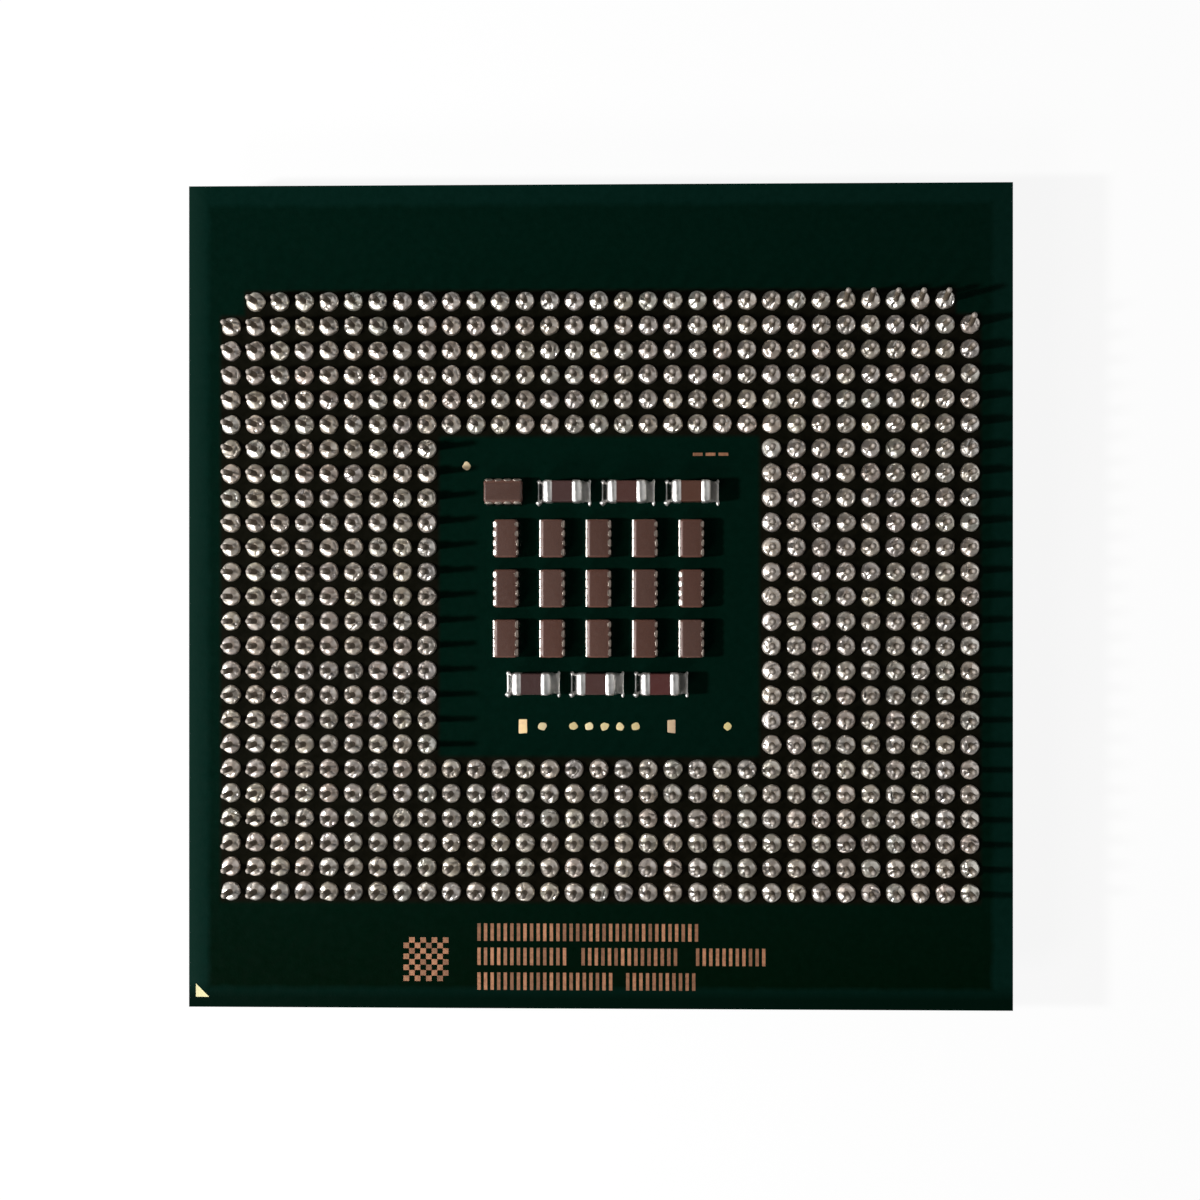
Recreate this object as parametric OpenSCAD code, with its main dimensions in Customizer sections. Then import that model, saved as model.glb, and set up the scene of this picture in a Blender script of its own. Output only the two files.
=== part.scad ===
// Processor package with a pin grid: a square laminate substrate with a metal lid over its die on one
// side, and pins and capacitors on the other. It lies on its lid with the pins up.
// Millimetres. The origin is the middle of the lid's outer face, +Z points through the pins, and +Y
// points to the edge whose pin row lacks its two end pins.

/* [Substrate] */
// Side of the square substrate
substrate_w = 42.5; // [41.5:0.1:50]
// Thickness of the substrate
substrate_t = 1.17; // [0.8:0.01:2]

/* [Pin grid] */
// Spacing of the pins along X and Y
pin_pitch = 1.27; // [1.2:0.01:1.3]
// Columns of pins
pin_cols = 31; // [27:2:31]
// Rows of pins
pin_rows = 25; // [21:2:25]
// Columns and rows left free of pins in the middle
window_count = 13; // [13:2:15]

/* [Pin] */
// Diameter of the pin
pin_d = 0.305; // [0.25:0.005:0.4]
// Length of the pin, from the substrate to its tip
pin_len = 2.03; // [1.5:0.01:3]
// Diameter of the nail head under the solder
head_d = 0.66; // [0.62:0.01:0.72]
// Thickness of the nail head
head_t = 0.13; // [0.08:0.01:0.2]
// Chamfer round the tip
tip_chamfer = 0.06; // [0.02:0.01:0.1]

/* [Bent pins] */
// Lean of the bent pins, in degrees
bent_lean = 9; // [2:0.5:12]
// Height of the bend's start above the solder
bent_start = 0.05; // [0.02:0.01:0.3]
// Swelling of the pin at the bend, on the radius
bent_swell = 0.004; // [0.002:0.001:0.01]
// First bent column of the end row
bent_from = 26; // [20:1:28]
// Bent pins in the end row
bent_count = 5; // [1:1:5]

/* [Pin solder] */
// Diameter of a solder joint on the substrate
joint_d = 1.0; // [0.85:0.01:1.1]
// Thickness of the solder over the rim of the nail head
joint_cover = 0.08; // [0.02:0.01:0.1]

/* [Array capacitors] */
// Length of the ceramic body
array_l = 1.95; // [1.8:0.01:2.2]
// Width of the ceramic body
array_w = 1.22; // [1.1:0.01:1.4]
// Height of the ceramic body
array_h = 0.78; // [0.5:0.01:0.95]
// Rounding of the body's upright edges
array_edge = 0.12; // [0.05:0.01:0.2]
// Columns of the block
array_cols = 5; // [3:2:5]
// Rows of the block
array_rows = 3; // [1:2:3]
// Gap between terminals of neighbours in a row
array_gap_x = 1.08; // [0.8:0.01:1.2]
// Gap between neighbours in a column
array_gap_y = 0.62; // [0.4:0.01:0.8]
// Place along Y of the block's middle row
array_mid_y = 0.41; // [0:0.01:0.6]

/* [Array terminals] */
// Terminals on each long side
terminal_count = 4; // [2:1:4]
// Spacing of the terminals
terminal_pitch = 0.48; // [0.42:0.01:0.5]
// Width of a terminal
terminal_w = 0.32; // [0.2:0.01:0.36]
// Thickness of a terminal's plating
terminal_t = 0.04; // [0.02:0.005:0.08]
// Length of a terminal's lips on the top and bottom
terminal_lip = 0.17; // [0.1:0.01:0.3]
// Foot of the solder at a terminal
array_foot = 0.1; // [0.05:0.01:0.2]
// Height of the solder at a terminal
array_climb = 0.35; // [0.2:0.01:0.45]

/* [Chip capacitors] */
// Length of the ceramic body
chip_l = 1.94; // [1.8:0.01:2.2]
// Width of the ceramic body
chip_w = 1.08; // [0.95:0.01:1.3]
// Height of the ceramic body
chip_h = 1.08; // [0.8:0.01:1.2]
// Rounding of the body's upright edges
chip_edge = 0.06; // [0.03:0.01:0.15]
// Chips in each of the two rows
chip_count = 3; // [1:1:3]
// Gap between the solder of neighbours
chip_gap = 0.32; // [0.2:0.01:0.4]
// Gap between the block and the upper row
upper_gap = 0.85; // [0.6:0.01:1]
// Gap between the block and the lower row
lower_gap = 0.77; // [0.6:0.01:1]
// Middle of the upper row along X
upper_x = 1.46; // [1.2:0.01:1.6]
// Middle of the lower row along X
lower_x = -0.13; // [-0.5:0.01:0.5]
// Gap between the upper row and the array capacitor beside it
lone_gap = 0.6; // [0.3:0.01:0.8]

/* [Chip terminals] */
// Length of an end cap along the body
cap_l = 0.34; // [0.25:0.01:0.5]
// Thickness of an end cap's plating
cap_t = 0.04; // [0.02:0.005:0.08]
// Foot of the solder in front of an end cap
chip_foot = 0.48; // [0.3:0.01:0.55]
// Height of the solder on an end cap
chip_climb = 0.72; // [0.4:0.01:0.78]

/* [Test pads] */
// Diameter of a round pad
dot_d = 0.47; // [0.3:0.01:0.6]
// Spacing of the row of round pads
dot_pitch = 0.8; // [0.7:0.01:0.9]
// Round pads in that row
dot_count = 5; // [1:2:5]
// Middle of that row along X
dot_x = 0.29; // [0:0.01:0.5]
// Place along X of the round pad beside the row
lone_dot_x = -2.92; // [-3:0.01:-2.6]
// Width of a bar pad
bar_w = 0.47; // [0.3:0.01:0.6]
// Length of a bar pad
bar_l = 0.79; // [0.6:0.01:1]
// Places along X of the left and right bar pads
bar_x = [-3.92, 3.72]; // [-5:0.01:5]
// Distance between the lower capacitors and the bar pads
pad_gap = 1.23; // [1:0.01:1.3]
// Place of the upper left fiducial dot
fiducial = [-6.84, 6.73]; // [-7:0.01:7]
// Place along X of the lower right fiducial dot, in line with the pads
lower_fiducial_x = 6.63; // [5:0.01:6.8]
// Thickness of the gold pads
pad_t = 0.03; // [0.02:0.005:0.06]
// Height of the pads above the solder mask
pad_rise = 0.01; // [0.005:0.001:0.015]

/* [Corner mark] */
// Legs of the gold triangle
mark_leg = 0.69; // [0.4:0.01:1]
// Distance of its square corner from the left edge
mark_inset_x = 0.36; // [0.2:0.01:0.8]
// Distance of its square corner from the lower edge
mark_inset_y = 0.52; // [0.2:0.01:0.8]

/* [Lid] */
// Side of the flange
flange_w = 38.5; // [37:0.1:41]
// Thickness of the flange
flange_t = 1.1; // [0.8:0.01:1.4]
// Side of the raised plateau
plateau_w = 34; // [32:0.1:36]
// Height of the lid from its seat to the plateau's face
lid_h = 2.25; // [2:0.01:3]
// Radius of the upright corners
lid_corner = 1.6; // [1:0.1:3]
// Chamfer along the outer edges
lid_chamfer = 0.2; // [0.1:0.01:0.4]
// Side of the hollow over the die
hollow_w = 29; // [24:0.1:31]

/* [Lid sealant] */
// Thickness of the bead
sealant_t = 0.15; // [0.08:0.01:0.25]
// Width of the bead
sealant_w = 1.8; // [1:0.1:2.5]
// Distance of the bead from the flange's edge
sealant_inset = 0.5; // [0.2:0.1:1]
// Width of the vent gap in the bead
vent_w = 3; // [1:0.1:6]

/* [Die] */
// Length of the die along X
die_l = 12; // [9:0.1:16]
// Length of the die along Y
die_w = 11.2; // [8:0.1:16]
// Thickness of the die
die_t = 0.775; // [0.5:0.005:0.9]
// Height of the bumps between the die and the substrate
bump_gap = 0.08; // [0.05:0.005:0.12]
// Foot of the underfill beyond the die
underfill_foot = 0.9; // [0.5:0.05:1.5]
// Height of the underfill on the die's sides
underfill_climb = 0.5; // [0.3:0.01:0.55]
// Lip of the underfill where it ends on the die's sides
underfill_lip = 0.05; // [0.02:0.01:0.1]
// Thickness of the thermal layer
thermal_t = 0.14; // [0.05:0.01:0.25]
// Spread of the thermal layer beyond the die
thermal_spread = 0.4; // [0.1:0.05:1]

/* [Hidden] */
$fn = 32;

// Levels, from the lid's face up
seat_z = lid_h;
back_z = seat_z + sealant_t;
board_z = back_z + substrate_t;
die_top_z = back_z - bump_gap;
die_z = die_top_z - die_t;
thermal_z = die_z - thermal_t;

// Pin grid
row_letters = [
    "a", "b", "c", "d", "e", "f", "g", "h", "j", "k", "l", "m", "n",
    "p", "r", "t", "u", "v", "w", "y", "aa", "ab", "ac", "ad", "ae"
];
pin_r = pin_d / 2;
end_row = pin_rows - 1;
mid_col = (pin_cols - 1) / 2;
mid_row = (pin_rows - 1) / 2;
window_reach = (window_count - 1) / 2;

// Radius and centre of the sphere that a solder joint's dome is part of, and the dome's height at the pin
joint_r = joint_d / 2;
head_r = head_d / 2;
rim_h = head_t + joint_cover;
dome_z = (head_r * head_r + rim_h * rim_h - joint_r * joint_r) / (2 * rim_h);
dome_r = sqrt(joint_r * joint_r + dome_z * dome_z);
joint_h = dome_z + sqrt(dome_r * dome_r - pin_r * pin_r);
bend_z = joint_h + bent_start;

// Capacitor layout
array_pitch_x = array_w + 2 * terminal_t + array_gap_x;
array_pitch_y = array_l + array_gap_y;
block_reach_y = (array_rows - 1) / 2 * array_pitch_y + array_l / 2;
chip_reach_x = chip_l / 2 + cap_t + chip_foot;
chip_reach_y = chip_w / 2 + cap_t;
chip_pitch = 2 * chip_reach_x + chip_gap;
upper_y = array_mid_y + block_reach_y + upper_gap + chip_reach_y;
lower_y = array_mid_y - block_reach_y - lower_gap - chip_reach_y;
lone_x = upper_x - (chip_count - 1) / 2 * chip_pitch - chip_reach_x - lone_gap - array_l / 2;
pad_y = lower_y - chip_reach_y - pad_gap - bar_l / 2;

// Steps of the curve on a chip's solder
fillet_steps = 5;

// Names of the nodes
function pin_row_name(r) = str("pin_row_", row_letters[r]);
function array_name(row, col) = str("array_capacitor_", row + 1, "_", col + 1);
function chip_name(row, i) = str(row, "_chip_capacitor_", i + 1);

// Places of the pins: row 0 is nearest the corner mark
function pin_x(col) = (col - mid_col) * pin_pitch;
function pin_y(row) = (row - mid_row) * pin_pitch;
function in_window(row, col) = abs(row - mid_row) <= window_reach && abs(col - mid_col) <= window_reach;
function is_end_gap(row, col) = row == end_row && (col == 0 || col == pin_cols - 1);
function row_cols(row) = [
    for (col = [0 : pin_cols - 1]) if (!in_window(row, col) && !is_end_gap(row, col)) col
];
function is_bent(row, col) =
    (row == end_row && col + 1 >= bent_from && col + 1 < bent_from + bent_count)
    || (row == end_row - 1 && col == pin_cols - 1);

// Places of the capacitors: [x, y, turn] for an array, [x, y] for a chip
function array_place(row, col) = [
    (col - (array_cols - 1) / 2) * array_pitch_x,
    array_mid_y + ((array_rows - 1) / 2 - row) * array_pitch_y,
    0
];
lone_place = [lone_x, upper_y, 90];
array_places = concat(
    [for (row = [0 : array_rows - 1], col = [0 : array_cols - 1]) array_place(row, col)],
    [lone_place]
);
function chip_place(row, i) = [
    (row == "upper" ? upper_x : lower_x) + (i - (chip_count - 1) / 2) * chip_pitch,
    row == "upper" ? upper_y : lower_y
];
chip_places = [for (row = ["upper", "lower"], i = [0 : chip_count - 1]) chip_place(row, i)];

// A rectangle with round corners
module rounded_rectangle(x, y, r) {
    square([x, y - 2 * r], center = true);
    square([x - 2 * r, y], center = true);
    for (sx = [-1, 1], sy = [-1, 1])
        translate([sx * (x / 2 - r), sy * (y / 2 - r)]) circle(r);
}

// A square plate with round upright corners and a chamfer along its lower edge
module chamfered_plate(w, h, r, c) {
    reach = w / 2 - r;
    for (turn = [0, 90])
        rotate([90, 0, 90 + turn])
            linear_extrude(2 * reach, center = true)
                polygon([
                    [-w / 2 + c, 0], [w / 2 - c, 0], [w / 2, c], [w / 2, h], [-w / 2, h], [-w / 2, c]
                ]);
    for (turn = [0 : 90 : 270])
        rotate(turn)
            translate([reach, reach, 0])
                rotate_extrude(angle = 90)
                    polygon([[0, 0], [r - c, 0], [r, c], [r, h], [0, h]]);
}

// A block whose four sides slope from one rectangle at its foot to another at its top
module sloped_block(foot, top, h) {
    depth = max(foot[1], top[1]);
    width = max(foot[0], top[0]);
    intersection() {
        rotate([90, 0, 0])
            linear_extrude(depth, center = true)
                polygon([[-foot[0] / 2, 0], [foot[0] / 2, 0], [top[0] / 2, h], [-top[0] / 2, h]]);
        rotate([90, 0, 90])
            linear_extrude(width, center = true)
                polygon([[-foot[1] / 2, 0], [foot[1] / 2, 0], [top[1] / 2, h], [-top[1] / 2, h]]);
    }
}

// Outlines of the gold test pads
module pad_outlines() {
    first_dot_x = dot_x - (dot_count - 1) / 2 * dot_pitch;
    row_dots = [for (i = [0 : dot_count - 1]) [first_dot_x + i * dot_pitch, pad_y]];
    lone_dots = [[lone_dot_x, pad_y], [lower_fiducial_x, pad_y], fiducial];
    for (place = concat(row_dots, lone_dots))
        translate(place) circle(dot_d / 2);
    for (x = bar_x)
        translate([x, pad_y]) square([bar_w, bar_l], center = true);
}

// Outline of the corner mark
module mark_outline() {
    translate([-substrate_w / 2 + mark_inset_x, -substrate_w / 2 + mark_inset_y])
        polygon([[0, 0], [mark_leg, 0], [0, mark_leg]]);
}

// Laminate board, with a recess in its solder mask for each gold pad
module substrate() {
    recess = pad_t - pad_rise;
    color([0.01, 0.09, 0.06])
        difference() {
            translate([-substrate_w / 2, -substrate_w / 2, back_z])
                cube([substrate_w, substrate_w, substrate_t]);
            translate([0, 0, board_z - recess])
                linear_extrude(pad_t) {
                    pad_outlines();
                    mark_outline();
                }
        }
}

// Metal lid: a plateau, a flange and a hollow over the die
module heat_spreader_lid() {
    color([0.72, 0.71, 0.68])
        difference() {
            union() {
                chamfered_plate(plateau_w, lid_h, lid_corner, lid_chamfer);
                translate([0, 0, lid_h - flange_t])
                    chamfered_plate(flange_w, flange_t, lid_corner, lid_chamfer);
            }
            translate([0, 0, thermal_z])
                linear_extrude(lid_h)
                    rounded_rectangle(hollow_w, hollow_w, lid_corner);
        }
}

// Bead between the flange and the substrate, open at the vent
module lid_sealant() {
    outer = flange_w - 2 * sealant_inset;
    inner = outer - 2 * sealant_w;
    color([0.12, 0.12, 0.12])
        translate([0, 0, seat_z])
            linear_extrude(sealant_t)
                difference() {
                    rounded_rectangle(outer, outer, lid_corner);
                    rounded_rectangle(inner, inner, lid_corner);
                    translate([-vent_w / 2, 0]) square([vent_w, outer]);
                }
}

// Layer between the die and the lid
module thermal_layer() {
    x = die_l + 2 * thermal_spread;
    y = die_w + 2 * thermal_spread;
    color([0.6, 0.6, 0.62])
        translate([-x / 2, -y / 2, thermal_z])
            cube([x, y, thermal_t]);
}

// Bare die, face to the substrate
module silicon_die() {
    color([0.3, 0.32, 0.36])
        translate([-die_l / 2, -die_w / 2, die_z])
            cube([die_l, die_w, die_t]);
}

// Resin under the die, with a fillet up its sides
module die_underfill() {
    h = underfill_climb + bump_gap;
    narrow = 2 * underfill_lip;
    wide = 2 * (underfill_lip + underfill_foot);
    color([0.2, 0.14, 0.08])
        difference() {
            translate([0, 0, back_z - h])
                sloped_block([die_l + narrow, die_w + narrow], [die_l + wide, die_w + wide], h);
            translate([-die_l / 2, -die_w / 2, die_z])
                cube([die_l, die_w, die_t]);
        }
}

// Nail head and straight shaft of a pin, turned, up to a height that may end in the tip's chamfer
module pin_turned(height, chamfer) {
    rotate_extrude()
        polygon(concat(
            [[0, 0], [head_r, 0], [head_r, head_t], [pin_r, head_t]],
            chamfer > 0
                ? [[pin_r, height - chamfer], [pin_r - chamfer, height]]
                : [[pin_r, height]],
            [[0, height]]
        ));
}

// A pin that leans towards +Y above its solder, with a slight swelling at the bend
module bent_pin() {
    end_len = pin_len - bend_z;
    pin_turned(bend_z, 0);
    translate([0, 0, bend_z]) {
        sphere(pin_r + bent_swell);
        rotate([-bent_lean, 0, 0])
            rotate_extrude()
                polygon([
                    [0, 0], [pin_r, 0], [pin_r, end_len - tip_chamfer], [pin_r - tip_chamfer, end_len],
                    [0, end_len]
                ]);
    }
}

// One row of pins
module pin_row(row) {
    color([0.78, 0.74, 0.68])
        for (col = row_cols(row))
            translate([pin_x(col), pin_y(row), board_z])
                if (is_bent(row, col)) bent_pin();
                else pin_turned(pin_len, tip_chamfer);
}

// A ring of solder over a pin's head, domed, open for the shaft
module solder_joint() {
    rotate_extrude()
        difference() {
            intersection() {
                translate([0, dome_z]) circle(dome_r);
                translate([pin_r, 0]) square([joint_d, joint_h]);
            }
            translate([0, -head_t]) square([head_r, 2 * head_t]);
        }
}

// Every pin's solder
module pin_solder_joints() {
    color([0.7, 0.67, 0.62])
        for (row = [0 : end_row])
            for (col = row_cols(row))
                translate([pin_x(col), pin_y(row), board_z]) solder_joint();
}

// Ceramic body of an array capacitor, with its length along Y unless it is turned
module array_capacitor(place) {
    color([0.3, 0.2, 0.17])
        translate([place[0], place[1], board_z + terminal_t])
            rotate(place[2])
                linear_extrude(array_h)
                    rounded_rectangle(array_w, array_l, array_edge);
}

// Ceramic body of a chip capacitor, with its length along X
module chip_capacitor(place) {
    color([0.27, 0.18, 0.16])
        translate([place[0], place[1], board_z + cap_t])
            linear_extrude(chip_h)
                rounded_rectangle(chip_l, chip_w, chip_edge);
}

// Puts a shape at each terminal of an array capacitor, with the body's side at x = 0
module at_array_terminals() {
    for (place = array_places)
        translate([place[0], place[1], board_z])
            rotate(place[2])
                for (side = [0, 180], i = [0 : terminal_count - 1])
                    rotate(side)
                        translate([array_w / 2, (i - (terminal_count - 1) / 2) * terminal_pitch, 0])
                            children();
}

// Puts a shape at each end of a chip capacitor, with the body's end at x = 0
module at_chip_ends() {
    for (place = chip_places)
        translate([place[0], place[1], board_z])
            for (side = [0, 180])
                rotate(side) translate([chip_l / 2, 0, 0]) children();
}

// An upright outline, with X outwards and Y up, drawn along a width centred on Y
module upright(width) {
    rotate([90, 0, 0]) linear_extrude(width, center = true) children();
}

// Plated terminals of the array capacitors, each with a lip above and below its body
module array_terminals() {
    top = array_h + 2 * terminal_t;
    color([0.75, 0.74, 0.72])
        at_array_terminals()
            upright(terminal_w)
                polygon([
                    [-terminal_lip, 0], [terminal_t, 0], [terminal_t, top], [-terminal_lip, top],
                    [-terminal_lip, top - terminal_t], [0, top - terminal_t],
                    [0, terminal_t], [-terminal_lip, terminal_t]
                ]);
}

// Plated end caps of the chip capacitors
module chip_terminals() {
    color([0.78, 0.77, 0.75])
        at_chip_ends()
            difference() {
                translate([-cap_l, -chip_w / 2 - cap_t, 0])
                    cube([cap_l + cap_t, chip_w + 2 * cap_t, chip_h + 2 * cap_t]);
                translate([-chip_l / 2, 0, cap_t])
                    linear_extrude(chip_h)
                        rounded_rectangle(chip_l, chip_w, chip_edge);
            }
}

// Solder at the feet of all the capacitors' terminals, hollow-sided at the chips
module capacitor_solder() {
    hollow = [
        for (i = [0 : fillet_steps])
            let (s = i / fillet_steps)
            [cap_t + chip_foot * (1 - s), chip_climb * s * s]
    ];
    color([0.7, 0.69, 0.67]) {
        at_array_terminals()
            upright(terminal_w)
                polygon([[terminal_t, 0], [terminal_t + array_foot, 0], [terminal_t, array_climb]]);
        at_chip_ends()
            upright(chip_w + 2 * cap_t)
                polygon(concat([[cap_t, 0]], hollow));
    }
}

// Gold pads, a little above the mask
module test_pads() {
    color([0.9, 0.75, 0.4])
        translate([0, 0, board_z + pad_rise - pad_t])
            linear_extrude(pad_t) pad_outlines();
}

// Gold triangle at the corner
module corner_mark() {
    color([0.95, 0.85, 0.5])
        translate([0, 0, board_z + pad_rise - pad_t])
            linear_extrude(pad_t) mark_outline();
}

substrate();
heat_spreader_lid();
lid_sealant();
thermal_layer();
silicon_die();
die_underfill();
for (r = [0 : end_row])
    pin_row(r);
pin_solder_joints();
for (row = [0 : array_rows - 1], col = [0 : array_cols - 1])
    array_capacitor(array_place(row, col));
array_capacitor(lone_place);  // lone_array_capacitor
for (row = ["upper", "lower"], i = [0 : chip_count - 1])
    chip_capacitor(chip_place(row, i));
array_terminals();
chip_terminals();
capacitor_solder();
test_pads();
corner_mark();
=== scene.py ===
"""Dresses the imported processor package, which lies on its lid with its pins up.

Sizes are millimetres in the row frame, and Piece.build turns them into metres. They repeat the part's own
sizes where the frame doesn't give them.
"""

import math
import random

import bmesh
import bpy
from mathutils import Matrix, Vector, noise


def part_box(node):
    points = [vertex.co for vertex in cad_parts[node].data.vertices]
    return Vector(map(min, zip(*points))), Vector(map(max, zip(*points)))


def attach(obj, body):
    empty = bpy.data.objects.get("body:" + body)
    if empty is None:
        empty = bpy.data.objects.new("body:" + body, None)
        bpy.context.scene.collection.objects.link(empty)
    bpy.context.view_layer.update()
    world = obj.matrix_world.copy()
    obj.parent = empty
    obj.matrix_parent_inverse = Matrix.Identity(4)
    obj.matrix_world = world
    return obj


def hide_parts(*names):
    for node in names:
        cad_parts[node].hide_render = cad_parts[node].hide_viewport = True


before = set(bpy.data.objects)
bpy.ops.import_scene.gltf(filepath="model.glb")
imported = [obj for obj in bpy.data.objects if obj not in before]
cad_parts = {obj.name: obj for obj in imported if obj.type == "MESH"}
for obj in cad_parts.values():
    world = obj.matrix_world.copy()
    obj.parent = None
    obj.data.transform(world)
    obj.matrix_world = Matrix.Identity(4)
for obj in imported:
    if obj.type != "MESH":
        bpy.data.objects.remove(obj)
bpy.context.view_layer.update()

MM = 0.001
DRAW_SEED = 604
rng = random.Random(DRAW_SEED)


def box_mm(node):
    """Lowest and highest corner of a CAD node, in millimetres."""
    low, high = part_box(node)
    return low / MM, high / MM


# Board
board_high = box_mm("substrate")[1]
BOARD_Z = board_high.z
HALF_BOARD = board_high.x

# Pin grid
PITCH = 1.27
COLUMNS = 31
WINDOW_COUNT = 13
ROW_NAMES = "a b c d e f g h j k l m n p r t u v w y aa ab ac ad ae".split()
MID_COLUMN = (COLUMNS - 1) // 2
MID_ROW = (len(ROW_NAMES) - 1) // 2
WINDOW_REACH = (WINDOW_COUNT - 1) // 2

# Pin: its head lies on the board. Its shaft is painted dark as painted shade, and its nose lighter as a
# painted highlight.
PIN_R = 0.1525
PIN_LEN = 2.03
HEAD_R = 0.33
HEAD_T = 0.13
NOSE_LEN = 0.24
NOSE_ANGLES = (25, 48, 66, 80)
NOSE_HIGHLIGHT_TINT = (2.3, 2.6, 3.2)
MID_SHAFT_Z = 1.2
PIN_SIDES = 14
# Lean of the pins above their solder, and the bent ones as row and column
BEND_Z = 0.348
BEND_SPAN = 0.3
SWAY_DEG = 0.7
BENT_DEG = 9
BENT_HEADING_DEG = 90
BENT = {("ae", c) for c in range(26, 31)} | {("ad", 31)}

# Solder joint of a pin: a cone with a few flat sides on a flat shoulder, rounded off at its rim and drawn up
# a little at the pin. Its steps run from the pin (0) to the rim (1). Most pairs are ends of random ranges.
JOINT_R = 0.5
JOINT_H = 0.27
JOINT_H_SHARE = (0.92, 1.1)
SHOULDER_H = 0.17
RIM_POWER = 14
# Noise on the rim, the shoulder and the whole surface: how much, its scale, and what sets it apart
RIM_WAVE, RIM_SCALE = 0.08, 1.6
SHOULDER_WAVE, SHOULDER_SCALE, SHOULDER_SHIFT = 0.05, 2, 3
ROUGH, ROUGH_SCALE, ROUGH_SHIFT = 0.012, 3, 0.5
JOINT_SIDES = 32
JOINT_STEPS = [0, 0.13, 0.27, 0.41, 0.54, 0.66, 0.77, 0.86, 0.93, 0.975, 1]
JOINT_SHARP_DEG = 16
COLLAR_H = (0.02, 0.1)
COLLAR_REACH = 0.06
# Least height of the solder over the pin's head with a margin round it, and elsewhere
HEAD_COVER = 0.012
HEAD_MARGIN = 0.02
LEAST_SOLDER = 0.01
FACET_COUNTS = (5, 7)
FACET_SLOPES = (0.12, 0.55)
FACET_JITTER = 0.25
# The flat that each joint turns to the lower left: heading and its spread in degrees, slope, and distance
# from the axis
FLAT_HEADING = (228, 14)
FLAT_SLOPES = (0.38, 0.58)
FLAT_START = (0.17, 0.28)
# Creases run along a heading, aside from the axis, and deepen over a ramp from their start
CREASES = 2
CREASE_ASIDE = (0.08, 0.36)
CREASE_START = (-0.25, 0.15)
CREASE_DEPTH = (0.01, 0.07)
CREASE_WIDTH = 0.045
CREASE_RAMP = 0.1
# One more crease runs out from the pin, to the lower right in the left columns and to the lower left in the
# others: heading and its spread in degrees
LEFT_STREAK = (333, 10)
LEFT_STREAK_COLUMNS = 7
STREAK = (243, 16)
STREAK_ASIDE = (-0.06, 0.06)
STREAK_START = (0.08, 0.16)
STREAK_DEPTH = (0.02, 0.1)
STREAK_WIDTH = 0.065
# Painted shade in the creases: how dark at a depth, fading at the rim
CREASE_SHADE = 0.85
CREASE_SHADE_DEPTH = 0.06
CREASE_SHADE_POWER = 6
# Tint of a whole joint
JOINT_LEVELS = (0.86, 1.04)
JOINT_HUES = (-0.03, 0.05)
# Noise differs from shape to shape by a random seed up to this
NOISE_SEEDS = 500

# Least radius of a capacitor's upright corners, which shrink towards its top
LEAST_CORNER = 0.02

# Array capacitors
ARRAY_L = 1.95
ARRAY_W = 1.22
ARRAY_H = 0.78
ARRAY_CORNER = 0.14
ARRAY_COLUMNS = 5
ARRAY_ROWS = 3
# Rounded upper edge of an array: distances in from the side, and below the top
ARRAY_CROWN = [
    (0, 0.11), (0.015, 0.085), (0.05, 0.06), (0.1, 0.033), (0.15, 0.012), (0.19, 0.002), (0.22, 0)
]
# How light the body is at its foot and at each step of that edge
CROWN_LIGHTNESS = [1, 1, 1.25, 1.6, 1.9, 1.5, 1.1, 1]
# Share of the distances in at the short ends
CROWN_AT_ENDS = 0.45
# Tint of a body, where blue changes more than green
ARRAY_LEVELS = (0.86, 1.03)
ARRAY_WARMTH = (-0.09, 0.07)
BLUE_WARMTH = 1.5

# Terminal of an array: a band up the side, and a lip on the top that rises by a share of the thickness
TERMINAL_COUNT = 4
TERMINAL_PITCH = 0.48
TERMINAL_W = 0.43
TERMINAL_T = 0.04
TERMINAL_ACROSS = (-1, -0.94, -0.5, 0, 0.5, 0.94, 1)
TERMINAL_LIP = 0.2
LIP_STEPS = (1, 0.93, 0.75, 0.5, 0.25, 0.08, 0)
LIP_RISE = 0.4
LIP_END_SHARE = 0.1
LIP_GROWTH = 4
# Forms of a lip: how much narrower its end is, and how full its corners are
TONGUE = (0.6, 8)
STRIP = (0.1, 24)
STRIP_SHARE = 0.36
# Bright lips: share of the full lip, level of the tint, and widths as shares of the terminal and the pitch
BRIGHT_LIP = (0.8, 1.0)
BRIGHT_LEVELS = (0.5, 0.9)
PARTED_SHARE = 0.75
JOINED_SHARE = (0.97, 0.995)
# Lips painted darker as painted shade, on the right of the upright arrays and on the lone one: shares of the
# full lip and of the terminal's width
SHADED_LIP, SHADED_WIDTH = (0.35, 0.7), (0.6, 1)
LONE_LIP, LONE_WIDTH = (0.35, 0.5), (0.9, 1)

# Drop of solder at the foot of a terminal: shares of its reach and climb from the toe up, and at its top the
# share of the terminal's thickness
ARRAY_FOOT = 0.1
ARRAY_CLIMB = 0.35
DROP_ACROSS = (-1, -0.7, -0.35, 0, 0.35, 0.7, 1)
DROP_SHAPE = ((1, 0), (0.75, 0.3), (0.35, 0.7))
DROP_TOP = 0.8
DROP_END = 0.04
DROP_FULLNESS = (0.8, 1.1)

# Chip capacitors, whose ceramic ends within the caps
CHIP_L = 1.94
CHIP_W = 1.08
CHIP_H = 1.08
CHIP_COUNT = 3
CHIP_HIDDEN = 0.1
CHIP_CORNER = 0.06
CHIP_EDGE = [(0, 0.05), (0.015, 0.015), (0.05, 0), (0.08, 0)]

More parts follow.
